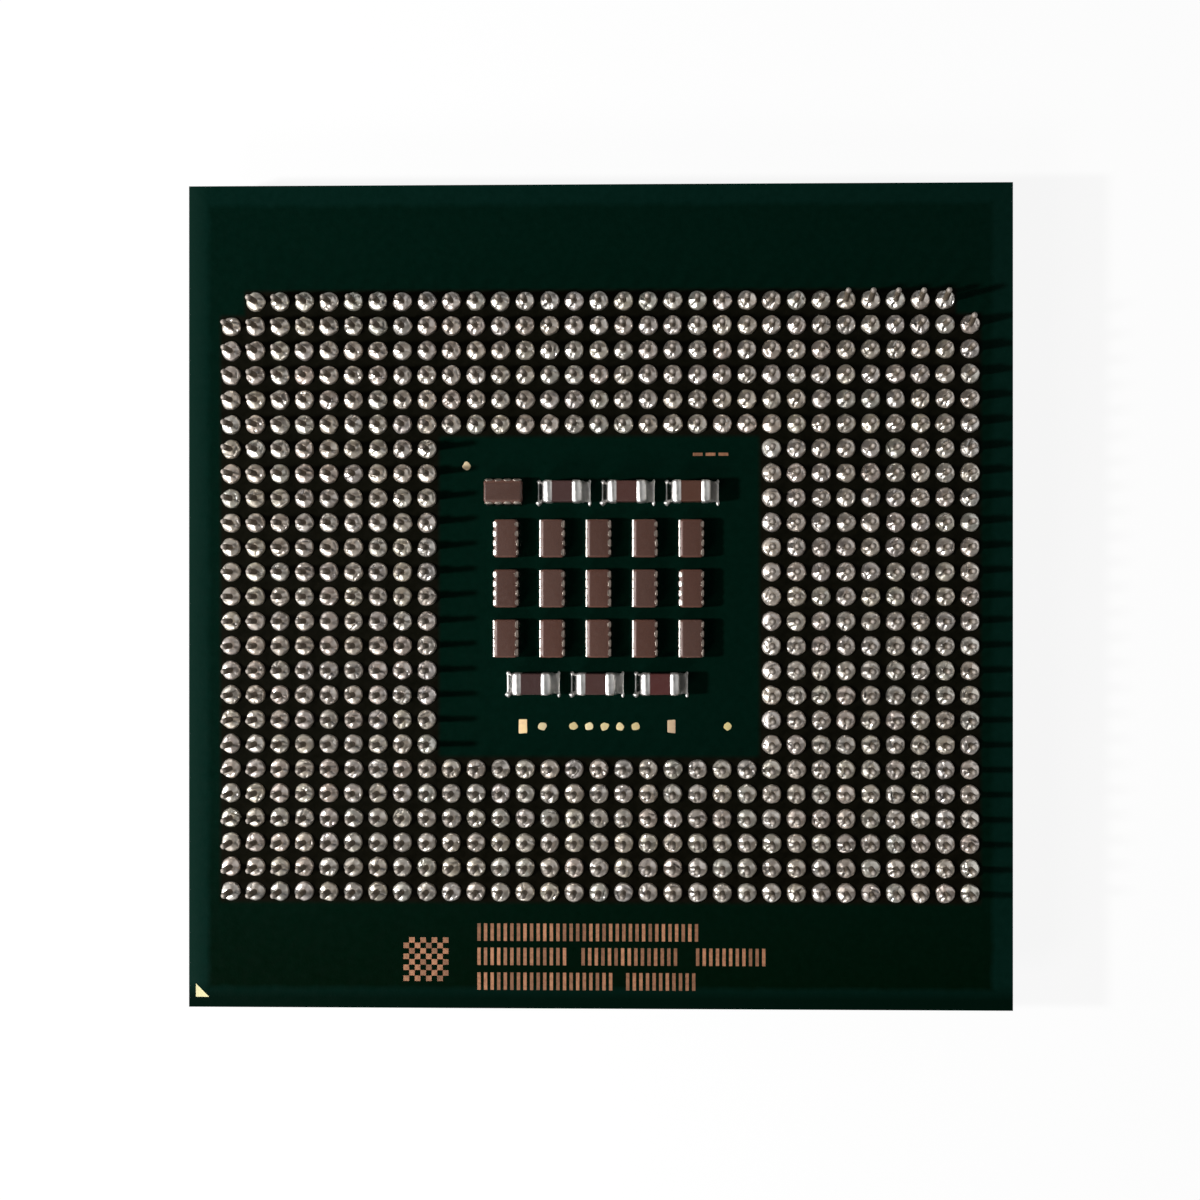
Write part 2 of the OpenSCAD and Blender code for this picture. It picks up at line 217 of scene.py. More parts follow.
# End cap of a chip: distances from its lip and below its top, then a round end with its length and drop. The
# sides go in by a share of that.
CAP_T = 0.04
CAP_LAP = 0.46
CAP_LIP = ((0, CAP_T), (0.04, 0.018), (0.09, -0.004), (0.15, -0.02), (0.21, -0.026))
CAP_ROUND = (0.3, 0.24)
CAP_ANGLES = (15, 30, 45, 58, 70, 80, 90)
CAP_SWELL = 0.02
CAP_SIDE_SHARE = 0.5
CAP_CORNER = 0.12
CAP_CORNER_ANGLES = (0, 22, 45, 68, 90)

# Hollow solder in front of an end cap, narrower in its middle and lower at its sides
FILLET_CLIMB = 0.72
FILLET_STEPS = 10
FILLET_ACROSS = 10
FILLET_WAIST = 0.06
FILLET_POWER = 1.7
FILLET_SIDE_DROP, FILLET_SIDE_POWER = 0.5, 6
FILLET_T = 0.012
# Bead at the toe of that solder, in half widths of the cap: its start and length, and place and width of its
# blobs
TOE_START, TOE_LEN = -1.1, 2.36
TOE_STEPS = 28
BIG_BLOB = (0.98, 0.17)
SMALL_BLOB = (-0.92, 0.12)
TOE_END_SHARE = 0.35
BEAD_H_SHARE = 0.85
BEAD_ANGLES = range(0, 181, 20)
# Reach of the solder at a chip's left and right end, and the bead's radius with what the two blobs add to it
LEFT_FOOT, LEFT_BEAD = 0.3, (0.055, 0.12, 0.06)
RIGHT_FOOT, RIGHT_BEAD = 0.4, (0.045, 0.04, 0.03)
CHIP_SHARP_DEG = 60

WHITE = (1, 1, 1)


class Piece:
    """Closed shapes that make one object, each with a tint."""

    def __init__(self):
        self.points, self.faces, self.tints = [], [], []

    def loft(self, rings, tint=WHITE, joined=False, shades=None):
        """Skins closed rings of equal length. The end rings are capped, or joined to each other.

        tint is one tint, or a list with one for each ring. shades has a factor for each point.
        """
        n = len(rings[0])
        last = len(rings) - 1
        pairs = [(k, k + 1) for k in range(last)]
        if joined:
            pairs.append((last, 0))
        faces = [
            (a * n + i, a * n + (i + 1) % n, b * n + (i + 1) % n, b * n + i)
            for a, b in pairs
            for i in range(n)
        ]
        if not joined:
            faces.append(tuple(range(n)))
            faces.append(tuple(last * n + i for i in range(n)))
        first = len(self.points)
        self.points.extend(p for ring in rings for p in ring)
        self.faces.extend(tuple(first + i for i in face) for face in faces)
        each = tint if isinstance(tint, list) else [tint] * len(rings)
        flat = [t for t in each for _ in range(n)]
        self.tints.extend((*(c * s for c in t), 1) for t, s in zip(flat, shades or [1] * len(flat)))

    def build(self, name, paint, slot, *nodes, sharp_deg=40):
        """Makes the object, which stands for the given CAD nodes."""
        mesh = bpy.data.meshes.new(name)
        mesh.from_pydata([tuple(c * MM for c in p) for p in self.points], [], self.faces)
        made = bmesh.new()
        made.from_mesh(mesh)
        bmesh.ops.recalc_face_normals(made, faces=made.faces)
        made.to_mesh(mesh)
        made.free()
        tint = mesh.color_attributes.new("tint", "FLOAT_COLOR", "POINT")
        tint.data.foreach_set("color", [c for t in self.tints for c in t])
        mesh.shade_smooth()
        mesh.set_sharp_from_angle(angle=math.radians(sharp_deg))
        mesh.materials.append(paint.material)
        obj = bpy.data.objects.new(name, mesh)
        bpy.context.scene.collection.objects.link(obj)
        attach(obj, "root")
        if nodes:
            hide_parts(*nodes)


class Nodes:
    """Short ways to add nodes to a tree."""

    def __init__(self, tree):
        self.tree = tree

    def feed(self, socket, value):
        """Links a socket to another one, or sets its value."""
        if isinstance(value, bpy.types.NodeSocket):
            self.tree.links.new(value, socket)
        else:
            socket.default_value = value

    def node(self, kind, inputs, **settings):
        """Adds a node with the given inputs and settings."""
        made = self.tree.nodes.new(kind)
        for name, value in settings.items():
            setattr(made, name, value)
        for name, value in inputs.items():
            self.feed(made.inputs[name], value)
        return made

    def math(self, operation, a, b=0.0):
        """Result of one sum."""
        return self.node("ShaderNodeMath", {0: a, 1: b}, operation=operation).outputs[0]

    def span(self, value, low, high, to_low=0.0, to_high=1.0):
        """Maps low to high on to another span, clamped."""
        return self.node(
            "ShaderNodeMapRange",
            {"Value": value, "From Min": low, "From Max": high, "To Min": to_low, "To Max": to_high},
        ).outputs["Result"]

    def seen(self):
        """1 where the camera looks, straight or by way of metal or glass, and 0 for other light."""
        rays = self.node("ShaderNodeLightPath", {}).outputs
        mirrored = self.math("MAXIMUM", rays["Is Glossy Ray"], rays["Is Transmission Ray"])
        return self.math("MAXIMUM", rays["Is Camera Ray"], mirrored)


class Paint(Nodes):
    """A material with one main shader. Texture scales are per millimetre."""

    def __init__(self, name, values):
        self.material = bpy.data.materials.new(name)
        self.material.use_nodes = True
        super().__init__(self.material.node_tree)
        self.shader = self.tree.nodes["Principled BSDF"]
        self.set(values)
        coordinates = self.node("ShaderNodeTexCoord", {}).outputs["Object"]
        self.place = self.node(
            "ShaderNodeVectorMath", {"Vector": coordinates, "Scale": 1 / MM}, operation="SCALE"
        ).outputs["Vector"]

    def set(self, values):
        """Feeds inputs of the main shader."""
        for name, value in values.items():
            self.feed(self.shader.inputs[name], value)

    def noise(self, scale, detail=2.0):
        """Smooth noise from 0 to 1."""
        return self.node(
            "ShaderNodeTexNoise", {"Vector": self.place, "Scale": scale, "Detail": detail}
        ).outputs["Fac"]

    def axes(self):
        """X, Y and Z in millimetres."""
        return self.node("ShaderNodeSeparateXYZ", {"Vector": self.place}).outputs

    def mix(self, share, a, b, blend="MIX"):
        """A blend of two colours, each a tuple or a socket."""
        made = self.tree.nodes.new("ShaderNodeMix")
        made.data_type = "RGBA"
        made.blend_type = blend
        # The sockets for colours are known by number, because their names repeat
        for socket, value in zip((made.inputs[0], made.inputs[6], made.inputs[7]), (share, a, b)):
            self.feed(socket, (*value, 1) if isinstance(value, tuple) and len(value) == 3 else value)
        return made.outputs[2]

    def tinted(self, base):
        """A colour times the tint of the piece's points."""
        tint = self.node("ShaderNodeVertexColor", {}, layer_name="tint").outputs["Color"]
        return self.mix(1.0, base, tint, "MULTIPLY")

    def bump(self, height, distance_mm=1.0):
        """Gives the surface a fine relief. At a height of 1 it rises by the distance."""
        made = self.node("ShaderNodeBump", {"Height": height, "Distance": distance_mm * MM})
        self.set({"Normal": made.outputs["Normal"]})


def solder_paint(name, colour, metallic, roughness, crinkle):
    """Grey metal with small changes of colour and gloss, and crinkles of a given height."""
    paint = Paint(name, {"Metallic": metallic})
    patch = paint.noise(2.5, 3.0)
    shade = paint.mix(paint.span(patch, 0.35, 0.65), colour, tuple(c * 0.8 for c in colour))
    fine = paint.math("MULTIPLY", paint.noise(10.0, 1.0), crinkle)
    paint.set({
        "Base Color": paint.tinted(shade),
        "Roughness": paint.span(paint.noise(6.0), 0.3, 0.7, roughness - 0.06, roughness + 0.08),
    })
    paint.bump(fine)
    return paint


def pin_paint():
    """Thinly plated wire, painted dark as painted shade, with dull patches and a finely uneven surface."""
    paint = Paint("pin_plating", {"Metallic": 0.35})
    patch = paint.span(paint.noise(3.0, 4.0), 0.3, 0.7)
    wire = paint.mix(patch, (0.2, 0.155, 0.11), (0.11, 0.085, 0.06))
    paint.set({
        "Base Color": paint.tinted(wire),
        "Roughness": paint.span(paint.noise(9.0), 0.3, 0.7, 0.5, 0.64),
    })
    paint.bump(paint.noise(20.0), 0.004)
    return paint


def ceramic_paint():
    """Fired brown ceramic with fine grain."""
    paint = Paint("brown_ceramic", {"Specular IOR Level": 0.35})
    grain = paint.noise(16.0, 4.0)
    base = paint.mix(paint.span(grain, 0.3, 0.7), (0.086, 0.04, 0.029), (0.066, 0.031, 0.023))
    paint.set({
        "Base Color": paint.tinted(base),
        "Roughness": paint.span(paint.noise(5.0), 0.3, 0.7, 0.36, 0.48),
    })
    paint.bump(grain, 0.008)
    return paint


def gold_paint(name, colour, dull, on_cad=False):
    """Gold or copper with dull patches, finely uneven. A CAD node carries no tint."""
    paint = Paint(name, {"Metallic": 0.12})
    patch = paint.noise(6.0, 4.0)
    base = paint.mix(paint.span(patch, 0.4, 0.75), colour, dull)
    paint.set({
        "Base Color": base if on_cad else paint.tinted(base),
        "Roughness": paint.span(patch, 0.3, 0.7, 0.35, 0.5),
    })
    paint.bump(paint.noise(18.0, 3.0), 0.01)
    return paint


# Solder mask: most colours are pairs between which the grain goes
GREEN = (0.0003, 0.007, 0.004), (0.0006, 0.009, 0.0054)
# The darker green of the lower part is painted shade
LOWER_SHADE_GREEN = (0.0003, 0.004, 0.0012), (0.0004, 0.0052, 0.0018)
BAND_GREEN = (0.0009, 0.0105, 0.007), (0.0016, 0.0132, 0.0092)
# A painted sheen at the left edge, and painted shade at the lower edge
LEFT_SHEEN_GREEN = (0.0042, 0.019, 0.0135)
LOWER_EDGE_SHADE_GREEN = (0.0004, 0.0058, 0.0032)
BROWN = (0.0036, 0.0024, 0.0013), (0.0064, 0.0044, 0.0027)
LAMINATE = (0.02, 0.026, 0.014), (0.045, 0.042, 0.022)
# Painted shade: the darker green of the lower part ends at this Y
LOWER_SHADE_END = 1 - HALF_BOARD / 2
# Distances in from the board's edges: where the rippled light band begins and is full, how far its painted
# sheen at the left reaches, and where its painted shade at the lower edge fades out
BAND_START, BAND_FULL = 1.05, 0.75
BAND_RIPPLE = 0.3
LEFT_SHEEN_REACH = 1
LOWER_EDGE_SHADE_SPAN = (0.5, 1.3)
# The mask falls off towards the edges: from this distance in, to this height
EDGE_FALL, EDGE_FALL_H = 0.95, -0.02
# Brown between the pins: its margin in pitches, its soft edge and its share
FIELD_MARGIN = 0.45
FIELD_SOFT = 0.12
FIELD_SHARE = 0.85
# Layers on the laminate's sides: radians of a wave per millimetre
LAYER_WAVE = 42.0


def mask_paint():
    """Dark green solder mask: lighter along the edges, with a painted sheen at the left and painted shade
    low down, brownish between the pins, laminate on the sides.
    """
    paint = Paint("solder_mask", {"Specular IOR Level": 0.03})
    x, y, z = paint.axes()
    ax, ay = paint.math("ABSOLUTE", x), paint.math("ABSOLUTE", y)
    ripple = paint.math("MULTIPLY", paint.noise(0.8, 3.0), BAND_RIPPLE)
    edge = paint.math("ADD", paint.math("MAXIMUM", ax, ay), ripple)
    grain = paint.span(paint.noise(3.0, 5.0), 0.25, 0.75)
    # Painted shade: darker green towards the bottom
    lower_shade = paint.span(y, -HALF_BOARD, LOWER_SHADE_END, 1.0, 0.0)
    green = paint.mix(lower_shade, paint.mix(grain, *GREEN), paint.mix(grain, *LOWER_SHADE_GREEN))
    # Painted sheen: the band is lighter at the left edge
    sheen_at_left = paint.span(x, -HALF_BOARD, LEFT_SHEEN_REACH - HALF_BOARD, 1.0, 0.0)
    light_green = paint.mix(sheen_at_left, paint.mix(grain, *BAND_GREEN), LEFT_SHEEN_GREEN)
    # Painted shade: the band is darker at the lower edge
    shade_at_lower_edge = paint.span(y, LOWER_EDGE_SHADE_SPAN[0] - HALF_BOARD, LOWER_EDGE_SHADE_SPAN[1] - HALF_BOARD, 1.0, 0.0)
    light_green = paint.mix(shade_at_lower_edge, light_green, LOWER_EDGE_SHADE_GREEN)

    def inside(columns, rows, middle_row=0.0):
        """1 within a number of pin pitches to each side of the middle, else 0."""
        from_middle = paint.math("ABSOLUTE", paint.math("SUBTRACT", y, middle_row * PITCH))
        in_x = paint.span(ax, columns * PITCH - FIELD_SOFT, columns * PITCH + FIELD_SOFT, 1.0, 0.0)
        in_y = paint.span(from_middle, rows * PITCH - FIELD_SOFT, rows * PITCH + FIELD_SOFT, 1.0, 0.0)
        return paint.math("MULTIPLY", in_x, in_y)

    full_rows = inside(MID_COLUMN + FIELD_MARGIN, MID_ROW - 0.5 + FIELD_MARGIN, -0.5)
    all_rows = inside(MID_COLUMN - 1 + FIELD_MARGIN, MID_ROW + FIELD_MARGIN)
    window = inside(WINDOW_REACH + 0.5, WINDOW_REACH + 0.5)
    field = paint.math(
        "MULTIPLY", paint.math("MAXIMUM", full_rows, all_rows), paint.math("SUBTRACT", 1.0, window)
    )
    band = paint.span(edge, HALF_BOARD - BAND_START, HALF_BOARD - BAND_FULL)
    top = paint.mix(band, green, light_green)
    top = paint.mix(paint.math("MULTIPLY", field, FIELD_SHARE), top, paint.mix(grain, *BROWN))
    layers = paint.span(paint.math("SINE", paint.math("MULTIPLY", z, LAYER_WAVE)), -1.0, 1.0)
    laminate = paint.mix(layers, *LAMINATE)
    normal = paint.node("ShaderNodeNewGeometry", {}).outputs["Normal"]
    upright = paint.node("ShaderNodeSeparateXYZ", {"Vector": normal}).outputs["Z"]
    side = paint.span(paint.math("ABSOLUTE", upright), 0.4, 0.6, 1.0, 0.0)
    paint.set({
        "Base Color": paint.mix(side, top, laminate),
        "Roughness": paint.span(paint.noise(2.0, 3.0), 0.3, 0.7, 0.27, 0.36),
    })
    fall = paint.span(edge, HALF_BOARD - EDGE_FALL, HALF_BOARD, 0.0, EDGE_FALL_H)
    paint.bump(paint.math("ADD", paint.math("MULTIPLY", paint.noise(9.0, 3.0), 0.008), fall))
    return paint


def nickel_paint():
    """Satin nickel plating with a fine brushed grain and a few dull patches."""
    paint = Paint("nickel_plate", {"Metallic": 1.0})
    stretched = paint.node(
        "ShaderNodeVectorMath", {0: paint.place, 1: (0.4, 12.0, 12.0)}, operation="MULTIPLY"
    ).outputs["Vector"]
    brush = paint.node(
        "ShaderNodeTexNoise", {"Vector": stretched, "Scale": 2.0, "Detail": 4.0}
    ).outputs["Fac"]
    patch = paint.noise(0.25, 4.0)
    base = paint.mix(paint.span(patch, 0.35, 0.65), (0.64, 0.62, 0.58), (0.6, 0.58, 0.54))
    paint.set({
        "Base Color": paint.mix(paint.span(brush, 0.3, 0.7, 0.0, 0.5), base, (0.42, 0.41, 0.385)),
        "Roughness": paint.span(brush, 0.25, 0.75, 0.26, 0.42),
    })
    paint.bump(brush, 0.006)
    return paint


def filler_paint(name, light, dark, roughness, scale):
    """A plain cured filler with uneven tone and a lumpy surface."""
    paint = Paint(name, {})
    lumps = paint.noise(scale, 4.0)
    paint.set({
        "Base Color": paint.mix(paint.span(lumps, 0.3, 0.7), light, dark),
        "Roughness": paint.span(lumps, 0.3, 0.7, roughness - 0.1, roughness + 0.1),
    })
    paint.bump(lumps, 0.03)
    return paint


mask = mask_paint()
pin_solder = solder_paint("pin_solder", (1.0, 0.92, 0.8), metallic=0.8, roughness=0.41, crinkle=0.001)
pin_solder.set({"Coat Weight": 0.8, "Coat Roughness": 0.25, "Coat IOR": 3.5})
cap_solder = solder_paint("cap_solder", (0.68, 0.64, 0.62), metallic=1.0, roughness=0.17, crinkle=0.0005)
toe_solder = solder_paint("toe_solder", (0.9, 0.89, 0.86), metallic=0.95, roughness=0.45, crinkle=0.001)
tin = solder_paint("tin_plate", (0.88, 0.86, 0.83), metallic=0.97, roughness=0.42, crinkle=0.001)
pin_metal = pin_paint()
ceramic = ceramic_paint()
gold = gold_paint("gold_plate", (1.0, 0.8, 0.44), (0.86, 0.64, 0.4))
pale_gold = gold_paint("pale_gold", (0.7, 0.66, 0.36), (0.63, 0.57, 0.31), on_cad=True)
copper = gold_paint("copper_print", (0.44, 0.205, 0.11), (0.23, 0.095, 0.045))
nickel = nickel_paint()

# Materials of the CAD nodes that no piece replaces
for node, paint in {
    "substrate": mask,
    "heat_spreader_lid": nickel,
    "lid_sealant": filler_paint("sealant", (0.05, 0.05, 0.052), (0.025, 0.025, 0.027), 0.6, 4.0),
    "thermal_layer": filler_paint("thermal_compound", (0.5, 0.5, 0.52), (0.38, 0.38, 0.4), 0.7, 3.0),
    "silicon_die": filler_paint("silicon", (0.2, 0.22, 0.26), (0.15, 0.16, 0.2), 0.25, 1.0),
    "die_underfill": filler_paint("underfill_resin", (0.14, 0.09, 0.05), (0.08, 0.05, 0.03), 0.45, 2.0),
    "corner_mark": pale_gold,
}.items():
    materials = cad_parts[node].data.materials
    materials.clear()
    materials.append(paint.material)


def clamped(value):
    """The nearest value from 0 to 1."""
    return min(max(value, 0), 1)


def circle(x, y, z, r, sides, turn=0):
    """Points on a level circle, the first one at the angle turn."""
    angles = [turn + math.tau * i / sides for i in range(sides)]
    return [(x + r * math.cos(a), y + r * math.sin(a), z) for a in angles]


def pin_rings(x, y, lean_deg, heading):
    """Rings of a pin from the underside of its head to its tip.

    Above its solder it leans towards the heading.
    """
    shaft_end = PIN_LEN - NOSE_LEN
    shaft = [BEND_Z, BEND_Z + BEND_SPAN / 2, BEND_Z + BEND_SPAN, MID_SHAFT_Z, shaft_end]
    nose_angles = [math.radians(a) for a in NOSE_ANGLES]
    profile = [(HEAD_R, 0), (HEAD_R, HEAD_T), (PIN_R, HEAD_T)]
    profile += [(PIN_R, h) for h in shaft]
    profile += [(PIN_R * math.cos(a), shaft_end + NOSE_LEN * math.sin(a)) for a in nose_angles]
    axis = Vector((-math.sin(heading), math.cos(heading), 0))
    centre, reached, rings = Vector((x, y, BOARD_Z)), 0, []
    for r, h in profile:
        tilt = math.radians(lean_deg) * clamped((h - BEND_Z) / BEND_SPAN)
        turn = Matrix.Rotation(tilt, 3, axis)
        centre = centre + turn @ Vector((0, 0, h - reached))
        reached = h
        rings.append([tuple(centre + turn @ Vector(p)) for p in circle(0, 0, 0, r, PIN_SIDES)])
    return rings


def about(middle_deg, spread_deg):
    """A random heading within a spread of a middle one."""
    return math.radians(middle_deg + rng.uniform(-spread_deg, spread_deg))


def joint_facets(turn):
    """Random flat sides of a joint: heading and slope of each."""
    count = rng.randint(*FACET_COUNTS)
    facets = []
    for i in range(count):
        heading = turn + math.tau * (i + rng.uniform(-FACET_JITTER, FACET_JITTER)) / count
        facets.append((heading, rng.uniform(*FACET_SLOPES)))
    return facets


def joint_creases(streak):
    """Random creases of a joint: heading, distance aside, start, depth and width of each."""
    creases = []
    for _ in range(CREASES):
        heading, aside = rng.uniform(0, math.tau), rng.uniform(*CREASE_ASIDE)
        start, depth = rng.uniform(*CREASE_START), rng.uniform(*CREASE_DEPTH)
        creases.append((heading, aside, start, depth, CREASE_WIDTH))
    heading, aside = about(*streak), rng.uniform(*STREAK_ASIDE)
    start, depth = rng.uniform(*STREAK_START), rng.uniform(*STREAK_DEPTH)
    creases.append((heading, aside, start, depth, STREAK_WIDTH))
    return creases


def crease_depths(creases, r, a):
    """How deep each crease is at a radius and an angle."""
    depths = []
    for heading, aside, start, depth, width in creases:
        across = (r * math.sin(a - heading) - aside) / width
        begun = clamped((r * math.cos(a - heading) - start) / CREASE_RAMP)
        depths.append(depth * begun * math.exp(-across ** 2))
    return depths


def joint_rings(x, y, seed, streak):
    """Rings of a flat-sided cone of solder over a pin's head, from the pin outwards and back under it.

    Gives a shade for each point too: the creases are darkened as painted shade.
    """
    top = JOINT_H * rng.uniform(*JOINT_H_SHARE)
    collar = rng.uniform(*COLLAR_H)
    turn = rng.uniform(0, math.tau)
    facets = joint_facets(turn)
    flat, flat_slope = about(*FLAT_HEADING), rng.uniform(*FLAT_SLOPES)
    flat_start = rng.uniform(*FLAT_START)
    creases = joint_creases(streak)
    rings, shades = [], []
    for t in JOINT_STEPS:
        ring = []
        for i in range(JOINT_SIDES):
            a = turn + math.tau * i / JOINT_SIDES
            c, s = math.cos(a), math.sin(a)
            rim = JOINT_R * (1 + RIM_WAVE * noise.noise((RIM_SCALE * c, RIM_SCALE * s, seed)))
            r = PIN_R + (rim - PIN_R) * t
            fall = max(slope * (r * math.cos(a - heading) - PIN_R) for heading, slope in facets)
            wave = noise.noise((SHOULDER_SCALE * c, SHOULDER_SCALE * s, seed + SHOULDER_SHIFT))
            z = max(top - max(fall, 0), SHOULDER_H + SHOULDER_WAVE * wave)
            z = min(z, top - flat_slope * (r * math.cos(a - flat) - flat_start))
            z += ROUGH * noise.noise((ROUGH_SCALE * r * c, ROUGH_SCALE * r * s, seed + ROUGH_SHIFT))
            sunk = crease_depths(creases, r, a)
            for depth in sunk:
                z -= depth
            # Painted shade darkens the creases, fading at the rim
            shades.append(1 - CREASE_SHADE * min(max(sunk) / CREASE_SHADE_DEPTH, 1) * (1 - t ** CREASE_SHADE_POWER))
            z *= 1 - (r / rim) ** RIM_POWER
            z += collar * math.exp((PIN_R - r) / COLLAR_REACH) * (1 - t)
            lowest = HEAD_T + HEAD_COVER if r < HEAD_R + HEAD_MARGIN else LEAST_SOLDER
            ring.append((x + r * c, y + r * s, BOARD_Z + (max(z, lowest) if t < 1 else 0)))
        rings.append(ring)
    for r, h in ((HEAD_R, 0), (HEAD_R, HEAD_T), (PIN_R, HEAD_T)):
        rings.append(circle(x, y, BOARD_Z + h, r, JOINT_SIDES, turn))
        shades += [1] * JOINT_SIDES
    return rings, shades


def joint_tint():
    """Small change of the solder's colour from joint to joint: beige, pinkish or greenish."""
    level = rng.uniform(*JOINT_LEVELS)
    warm, pink = rng.uniform(*JOINT_HUES), rng.uniform(*JOINT_HUES)
    return (level * (1 + warm), level * (1 - pink), level * (1 - warm))


for row, name in enumerate(ROW_NAMES):
    pins, joints = Piece(), Piece()
    for column in range(COLUMNS):
        in_window = abs(row - MID_ROW) <= WINDOW_REACH and abs(column - MID_COLUMN) <= WINDOW_REACH
        end_gap = name == ROW_NAMES[-1] and column in (0, COLUMNS - 1)
        if in_window or end_gap:
            continue
        x, y = (column - MID_COLUMN) * PITCH, (row - MID_ROW) * PITCH
        heading, sway = rng.uniform(0, math.tau), rng.uniform(0, SWAY_DEG)
        if (name, column + 1) in BENT:
            heading, sway = math.radians(BENT_HEADING_DEG), BENT_DEG
        rings = pin_rings(x, y, sway, heading)
        nose = len(NOSE_ANGLES)
        # The nose's lighter tint is a painted highlight
        pins.loft(rings, [WHITE] * (len(rings) - nose) + [NOSE_HIGHLIGHT_TINT] * nose)
        streak = LEFT_STREAK if column < LEFT_STREAK_COLUMNS else STREAK
        rings, shades = joint_rings(x, y, rng.uniform(0, NOISE_SEEDS), streak)
        joints.loft(rings, joint_tint(), joined=True, shades=shades)
    pins.build(f"pins_{name}", pin_metal, "pin_plating", f"pin_row_{name}")
    joints.build(
        f"pin_solder_{name}", pin_solder, "solder", "pin_solder_joints", sharp_deg=JOINT_SHARP_DEG
    )


def rounded_outline(length, width, corner, steps=5):
    """A rectangle with round corners, centred, with its length along X."""
    points = []
    for quarter, (sx, sy) in enumerate(((1, 1), (-1, 1), (-1, -1), (1, -1))):
        for i in range(steps):
            a = math.pi / 2 * (quarter + i / (steps - 1))
            points.append((
                sx * (length / 2 - corner) + corner * math.cos(a),
                sy * (width / 2 - corner) + corner * math.sin(a),
            ))
    return points


def block_rings(length, width, low, high, corner, edge, at_ends):
    """Rings of a block with its length along Y and round upright corners.

    edge is the shape of its upper edge: distances in from the sides, and below the top. At the ends the
    distances in are a share of that.
    """
    rings = []
    for inset, drop in [(0, high - low)] + edge:
        radius = max(corner - inset * at_ends, LEAST_CORNER)
        outline = rounded_outline(width - 2 * inset, length - 2 * inset * at_ends, radius)
        rings.append([(px, py, high - drop) for px, py in outline])
    return rings


def placed(rings, x, y, turn_deg=0.0):
    """Rings turned about the vertical and moved to a place on the board."""
    move = Matrix.Translation((x, y, BOARD_Z)) @ Matrix.Rotation(math.radians(turn_deg), 4, "Z")
    return [[tuple(move @ Vector(p)) for p in ring] for ring in rings]


def middle_mm(node):
    """Middle of a CAD node in the board's plane."""
    low, high = box_mm(node)
    return (low.x + high.x) / 2, (low.y + high.y) / 2


def crown_drop(inset):
    """How far an array's upper edge lies below its top, at a distance in from its side."""
    for (a, drop_a), (b, drop_b) in zip(ARRAY_CROWN, ARRAY_CROWN[1:]):
        if inset <= b:
            return drop_a + (drop_b - drop_a) * (inset - a) / (b - a)
    return 0


def terminal_rings(lip, half, taper, square):
    """Rings of an array's terminal at the side x = 0, from the end of its lip on the top down to the board.

    taper is how much narrower the lip's end is, and square how full its corners are.
    """
    top = TERMINAL_T + ARRAY_H
    path = []
    for share in LIP_STEPS:
        inset = lip * share
        width = half * (1 - taper * share ** 2)
        path.append((-inset, top - crown_drop(inset), width, 1 - share, LIP_RISE))
    path += [(0, top / 2, half, 1, 0), (0, 0, half, 1, 0)]
    rings = []
    for out, z, width, outwards, upwards in path:
        thickness = min(1, LIP_GROWTH * outwards + LIP_END_SHARE)
        ring = []
        for v in TERMINAL_ACROSS:
            lift = TERMINAL_T * math.sqrt(1 - v ** square)
            ring.append((out + lift * outwards, v * width, z + lift * upwards * thickness))
        for v in (1, -1):
            ring.append((out - TERMINAL_T, v * width, max(z - TERMINAL_T, 0)))
        rings.append(ring)
    return rings


def array_solder_rings(fullness):
    """Rings across a drop of solder at the foot of an array terminal."""
    rings = []
    for v in DROP_ACROSS:
        full = math.sqrt(max(1 - v * v, DROP_END)) * fullness
        foot, climb = ARRAY_FOOT * full, ARRAY_CLIMB * full
        profile = [(0, 0)]
        profile += [(TERMINAL_T + foot * out, climb * up) for out, up in DROP_SHAPE]
        profile.append((TERMINAL_T * DROP_TOP, climb))
        rings.append([(px, v * TERMINAL_W / 2, pz) for px, pz in profile])
    return rings


def cap_rings():
    """Rings along a chip's end cap, with x = 0 at the body's end: domed, with a round end."""
    half, top = CHIP_W / 2 + CAP_T, CHIP_H + 2 * CAP_T
    length, drop = CAP_ROUND
    path = [(-CAP_LAP + along, inset) for along, inset in CAP_LIP]
    for a in CAP_ANGLES:
        t = math.radians(a)
        path.append((CAP_T - length * (1 - math.sin(t)), drop * (1 - math.cos(t)) - CAP_SWELL))
    arc = [math.radians(a) for a in CAP_CORNER_ANGLES]
    rings = []
    for px, inset in path:
        w, h = half - CAP_SIDE_SHARE * max(inset, 0), top - inset
        right = [(w - CAP_CORNER * (1 - math.cos(a)), h - CAP_CORNER * (1 - math.sin(a))) for a in arc]
        outline = [(w, 0)] + right + [(-py, pz) for py, pz in reversed(right)] + [(-w, 0)]
        rings.append([(px, py, pz) for py, pz in outline])
    return rings


def chip_solder_rings(foot):
    """Rings along the hollow solder in front of a chip's end cap."""
    half = CHIP_W / 2 + CAP_T
    rings = []
    for i in range(FILLET_STEPS + 1):
        s = i / FILLET_STEPS
        out = CAP_T / 2 + (foot + CAP_T / 2) * s
        width = half - FILLET_WAIST * math.sin(math.pi * s)
        ring = []
        for j in range(FILLET_ACROSS + 1):
            v = 2 * j / FILLET_ACROSS - 1
            at_side = 1 - FILLET_SIDE_DROP * abs(v) ** FILLET_SIDE_POWER
            z = FILLET_CLIMB * (1 - s) ** FILLET_POWER * at_side
            ring.append((out, v * width, max(z, FILLET_T)))
        ring += [(out, width, 0), (out, -width, 0)]
        rings.append(ring)
    return rings


def blob(v, place, width):
    """How full a blob is at v, from 1 in its middle down to 0."""
    return math.exp(-((v - place) / width) ** 2)


